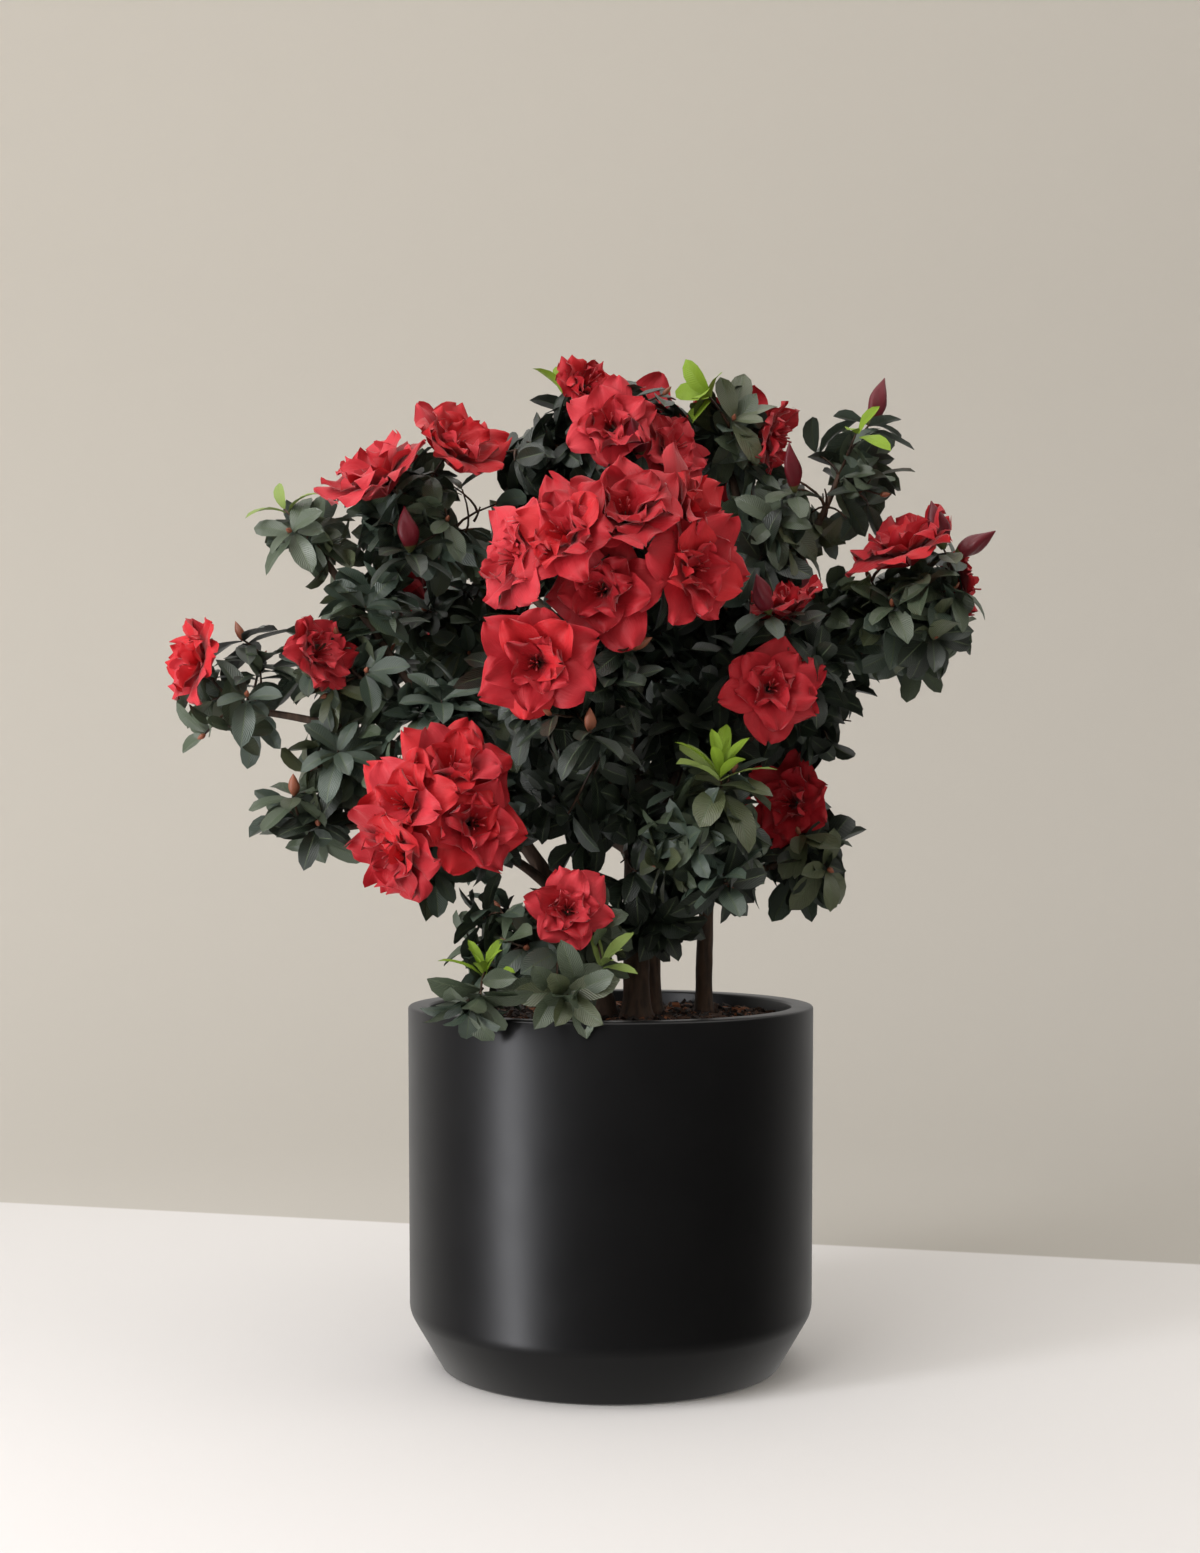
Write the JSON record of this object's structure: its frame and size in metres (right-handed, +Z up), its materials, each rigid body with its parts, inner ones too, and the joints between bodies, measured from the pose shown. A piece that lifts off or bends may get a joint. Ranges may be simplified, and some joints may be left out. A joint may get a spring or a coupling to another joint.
{
  "type": "potted azalea shrub",
  "caption": "azalea shrub in bloom: upright stems and boughs under an open, spreading crown of leaves and double red flowers, standing in a plain round planter with a bevelled foot",
  "frame": {"origin": "the middle of the planter's flat underside", "axes": "+Z up along the planter's own axis, +X to the right and -Y towards a person who looks at the fuller, pictured side"},
  "size_m": [0.5237, 0.3386, 0.6237],
  "materials": {
    "pot": "satin black glazed",
    "soil": "loose dark bark chips",
    "bark": "rough red-brown bark",
    "foliage": "satin dark green leaves",
    "young_leaves": "soft light green leaves",
    "petals": "velvety crimson petals",
    "buds": "satin maroon buds"
  },
  "bodies": {
    "root": {"pot": "pot", "soil": "soil", "stem_main": "bark", "stem_left": "bark", "stem_right": "bark", "stem_back": "bark", "bough_top": "bark", "bough_top_right": "bark", "bough_upper_right": "bark", "bough_right": "bark", "bough_centre": "bark", "bough_upper_left": "bark", "bough_high_left_sprig": "bark", "bough_left": "bark", "bough_left_tip": "bark", "bough_low_left_sprig": "bark", "bough_lower_left": "bark", "bough_front": "bark", "bough_low_front": "bark", "bough_front_right": "bark", "bough_lower_right": "bark", "bough_right_middle": "bark", "bough_heart": "bark", "bough_back_top": "bark", "bough_back_left": "bark", "bough_back_right": "bark", "bough_back": "bark", "bough_back_lower_left": "bark", "bough_back_lower_right": "bark", "foliage_top": "foliage", "foliage_top_right": "foliage", "foliage_upper_right": "foliage", "foliage_right": "foliage", "foliage_centre": "foliage", "foliage_upper_left": "foliage", "foliage_high_left_sprig": "foliage", "foliage_left": "foliage", "foliage_left_tip": "foliage", "foliage_low_left_sprig": "foliage", "foliage_lower_left": "foliage", "foliage_front": "foliage", "foliage_low_front": "foliage", "foliage_front_right": "foliage", "foliage_lower_right": "foliage", "foliage_right_middle": "foliage", "foliage_heart": "foliage", "foliage_back_top": "foliage", "foliage_back_left": "foliage", "foliage_back_right": "foliage", "foliage_back": "foliage", "foliage_back_lower_left": "foliage", "foliage_back_lower_right": "foliage"}
  },
  "joints": []
}
